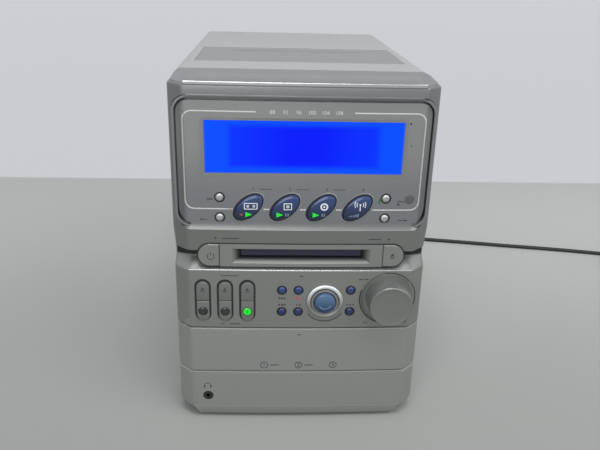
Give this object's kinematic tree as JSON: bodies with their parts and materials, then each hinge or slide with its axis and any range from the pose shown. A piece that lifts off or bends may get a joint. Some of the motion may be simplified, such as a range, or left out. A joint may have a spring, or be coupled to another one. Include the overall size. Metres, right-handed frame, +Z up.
{
  "type": "mini hi-fi system centre unit",
  "caption": "Tall narrow audio unit with a lit display over a waist slot, keys, jog dial and volume knob, a sliding disc drawer, a hinged tape lid on top and a mains cord.",
  "frame": {"origin": "on the table, under the middle of the case's box (the box includes the volume knob and leaves out the cord)", "axes": "+Z up, -Y out of the front, +X to the right of a viewer facing the front"},
  "size_m": [0.6242, 0.398, 0.2665],
  "materials": {
    "steel": "bare zinc-plated sheet",
    "silver_plastic": "grey-silver paint, satin",
    "painted_cover": "light silver paint, satin",
    "blue_gloss": "dark navy, glossy",
    "display_blue": "saturated blue, lit from behind",
    "board": "bare circuit board",
    "black_plastic": "moulded black",
    "white_plastic": "natural acetal",
    "rubber": "black, matt"
  },
  "bodies": {
    "cabinet": {"chassis_base": "steel", "base_panel": "silver_plastic", "control_panel": "silver_plastic", "display_housing": "silver_plastic", "display_fascia": "silver_plastic", "top_cover": "painted_cover", "rear_panel": "steel", "slot_strip": "silver_plastic", "display_window": "display_blue", "display_board": "board", "control_board": "board", "headphone_jack": "black_plastic", "foot_front_left": "rubber", "foot_front_right": "rubber", "foot_rear_left": "rubber", "foot_rear_right": "rubber", "disc_loader_frame": "black_plastic", "cartridge_deck": "steel", "tape_deck_frame": "black_plastic", "main_board": "board", "power_transformer": "steel", "rear_sockets": "black_plastic", "cord_bushing": "rubber", "mains_cord": "rubber", "mains_cord_coil": "rubber", "mains_plug": "rubber"},
    "drawer": {"disc_drawer": "black_plastic", "drawer_front": "silver_plastic"},
    "drawer_gear": {"drawer_pinion": "white_plastic"},
    "platter": {"turntable": "black_plastic"},
    "pickup_sled": {"pickup": "black_plastic"},
    "tape_lid": {"cassette_lid": "painted_cover"},
    "supply_hub": {"supply_spindle": "white_plastic"},
    "take_up_hub": {"take_up_spindle": "white_plastic"},
    "slot_flap": {"cartridge_flap": "blue_gloss"},
    "standby_key": {"standby_button": "silver_plastic"},
    "cartridge_eject_key": {"cartridge_eject_button": "silver_plastic"},
    "source_key_1": {"source_button_1": "blue_gloss"},
    "source_key_2": {"source_button_2": "blue_gloss"},
    "source_key_3": {"source_button_3": "blue_gloss"},
    "source_key_4": {"source_button_4": "blue_gloss"},
    "display_key": {"display_button": "silver_plastic"},
    "skip_back_key": {"skip_back_button": "silver_plastic"},
    "timer_key": {"timer_button": "silver_plastic"},
    "skip_forward_key": {"skip_forward_button": "silver_plastic"},
    "tray_key_1": {"tray_button_1": "silver_plastic"},
    "tray_key_2": {"tray_button_2": "silver_plastic"},
    "tray_key_3": {"tray_button_3": "silver_plastic"},
    "disc_key_1": {"disc_button_1": "silver_plastic"},
    "disc_key_2": {"disc_button_2": "silver_plastic"},
    "disc_key_3": {"disc_button_3": "silver_plastic"},
    "function_key_1": {"function_button_1": "blue_gloss"},
    "function_key_2": {"function_button_2": "blue_gloss"},
    "function_key_3": {"function_button_3": "blue_gloss"},
    "function_key_4": {"function_button_4": "blue_gloss"},
    "function_key_5": {"function_button_5": "blue_gloss"},
    "function_key_6": {"function_button_6": "blue_gloss"},
    "jog_ring": {"dial_ring": "silver_plastic"},
    "jog_key": {"dial_button": "blue_gloss"},
    "volume": {"volume_knob": "silver_plastic"}
  },
  "joints": [
    {"name": "drawer_slide", "type": "slide", "parent": "cabinet", "child": "drawer", "axis": [0, -1, 0], "range_m": [0, 0.14]},
    {"name": "pinion_spin", "type": "hinge", "parent": "cabinet", "child": "drawer_gear", "pos_m": [-0.07456, -0.103, 0.0579], "axis": [0, 0, 1], "range_deg": [-1080, 0]},
    {"name": "turntable_spin", "type": "hinge", "parent": "cabinet", "child": "platter", "pos_m": [0, -0.075, 0.0604], "axis": [0, 0, 1], "continuous": true},
    {"name": "pickup_slide", "type": "slide", "parent": "cabinet", "child": "pickup_sled", "axis": [0, 1, 0], "range_m": [0, 0.03]},
    {"name": "tape_lid_hinge", "type": "hinge", "parent": "cabinet", "child": "tape_lid", "pos_m": [0, 0.0258, 0.2636], "axis": [-1, 0, 0], "range_deg": [0, 50]},
    {"name": "supply_spin", "type": "hinge", "parent": "cabinet", "child": "supply_hub", "pos_m": [-0.02125, -0.0197, 0.2438], "axis": [0, 0, 1], "continuous": true},
    {"name": "take_up_spin", "type": "hinge", "parent": "cabinet", "child": "take_up_hub", "pos_m": [0.02125, -0.0197, 0.2438], "axis": [0, 0, 1], "continuous": true},
    {"name": "flap_hinge", "type": "hinge", "parent": "cabinet", "child": "slot_flap", "pos_m": [0, -0.1462, 0.14605], "axis": [1, 0, 0], "range_deg": [0, 80], "stiffness_Nm_per_rad": 0.002, "springref_deg": -11.46},
    {"name": "standby_press", "type": "slide", "parent": "cabinet", "child": "standby_key", "axis": [0, 1, 0], "range_m": [0, 0.001], "stiffness_N_per_m": 500},
    {"name": "cartridge_eject_press", "type": "slide", "parent": "cabinet", "child": "cartridge_eject_key", "axis": [0, 1, 0], "range_m": [0, 0.001], "stiffness_N_per_m": 500},
    {"name": "source_press_1", "type": "slide", "parent": "cabinet", "child": "source_key_1", "axis": [0, 1, 0], "range_m": [0, 0.001], "stiffness_N_per_m": 500},
    {"name": "source_press_2", "type": "slide", "parent": "cabinet", "child": "source_key_2", "axis": [0, 1, 0], "range_m": [0, 0.001], "stiffness_N_per_m": 500},
    {"name": "source_press_3", "type": "slide", "parent": "cabinet", "child": "source_key_3", "axis": [0, 1, 0], "range_m": [0, 0.001], "stiffness_N_per_m": 500},
    {"name": "source_press_4", "type": "slide", "parent": "cabinet", "child": "source_key_4", "axis": [0, 1, 0], "range_m": [0, 0.001], "stiffness_N_per_m": 500},
    {"name": "display_press", "type": "slide", "parent": "cabinet", "child": "display_key", "axis": [0, 1, 0], "range_m": [0, 0.001], "stiffness_N_per_m": 500},
    {"name": "skip_back_press", "type": "slide", "parent": "cabinet", "child": "skip_back_key", "axis": [0, 1, 0], "range_m": [0, 0.001], "stiffness_N_per_m": 500},
    {"name": "timer_press", "type": "slide", "parent": "cabinet", "child": "timer_key", "axis": [0, 1, 0], "range_m": [0, 0.001], "stiffness_N_per_m": 500},
    {"name": "skip_forward_press", "type": "slide", "parent": "cabinet", "child": "skip_forward_key", "axis": [0, 1, 0], "range_m": [0, 0.001], "stiffness_N_per_m": 500},
    {"name": "tray_press_1", "type": "slide", "parent": "cabinet", "child": "tray_key_1", "axis": [0, 1, 0], "range_m": [0, 0.001], "stiffness_N_per_m": 500},
    {"name": "tray_press_2", "type": "slide", "parent": "cabinet", "child": "tray_key_2", "axis": [0, 1, 0], "range_m": [0, 0.001], "stiffness_N_per_m": 500},
    {"name": "tray_press_3", "type": "slide", "parent": "cabinet", "child": "tray_key_3", "axis": [0, 1, 0], "range_m": [0, 0.001], "stiffness_N_per_m": 500},
    {"name": "disc_press_1", "type": "slide", "parent": "cabinet", "child": "disc_key_1", "axis": [0, 1, 0], "range_m": [0, 0.001], "stiffness_N_per_m": 500},
    {"name": "disc_press_2", "type": "slide", "parent": "cabinet", "child": "disc_key_2", "axis": [0, 1, 0], "range_m": [0, 0.001], "stiffness_N_per_m": 500},
    {"name": "disc_press_3", "type": "slide", "parent": "cabinet", "child": "disc_key_3", "axis": [0, 1, 0], "range_m": [0, 0.001], "stiffness_N_per_m": 500},
    {"name": "function_press_1", "type": "slide", "parent": "cabinet", "child": "function_key_1", "axis": [0, 1, 0], "range_m": [0, 0.001], "stiffness_N_per_m": 500},
    {"name": "function_press_2", "type": "slide", "parent": "cabinet", "child": "function_key_2", "axis": [0, 1, 0], "range_m": [0, 0.001], "stiffness_N_per_m": 500},
    {"name": "function_press_3", "type": "slide", "parent": "cabinet", "child": "function_key_3", "axis": [0, 1, 0], "range_m": [0, 0.001], "stiffness_N_per_m": 500},
    {"name": "function_press_4", "type": "slide", "parent": "cabinet", "child": "function_key_4", "axis": [0, 1, 0], "range_m": [0, 0.001], "stiffness_N_per_m": 500},
    {"name": "function_press_5", "type": "slide", "parent": "cabinet", "child": "function_key_5", "axis": [0, 1, 0], "range_m": [0, 0.001], "stiffness_N_per_m": 500},
    {"name": "function_press_6", "type": "slide", "parent": "cabinet", "child": "function_key_6", "axis": [0, 1, 0], "range_m": [0, 0.001], "stiffness_N_per_m": 500},
    {"name": "jog_spin", "type": "hinge", "parent": "cabinet", "child": "jog_ring", "pos_m": [0.0182, -0.153, 0.1044], "axis": [0, -1, 0], "continuous": true},
    {"name": "jog_press", "type": "slide", "parent": "cabinet", "child": "jog_key", "axis": [0, 1, 0], "range_m": [0, 0.001], "stiffness_N_per_m": 500},
    {"name": "volume_spin", "type": "hinge", "parent": "cabinet", "child": "volume", "pos_m": [0.0653, -0.153, 0.1074], "axis": [0, -1, 0], "continuous": true}
  ],
  "couplings": [
    {"joint": "pinion_spin", "follows": "drawer_slide", "rad_per_m": -133.33}
  ]
}
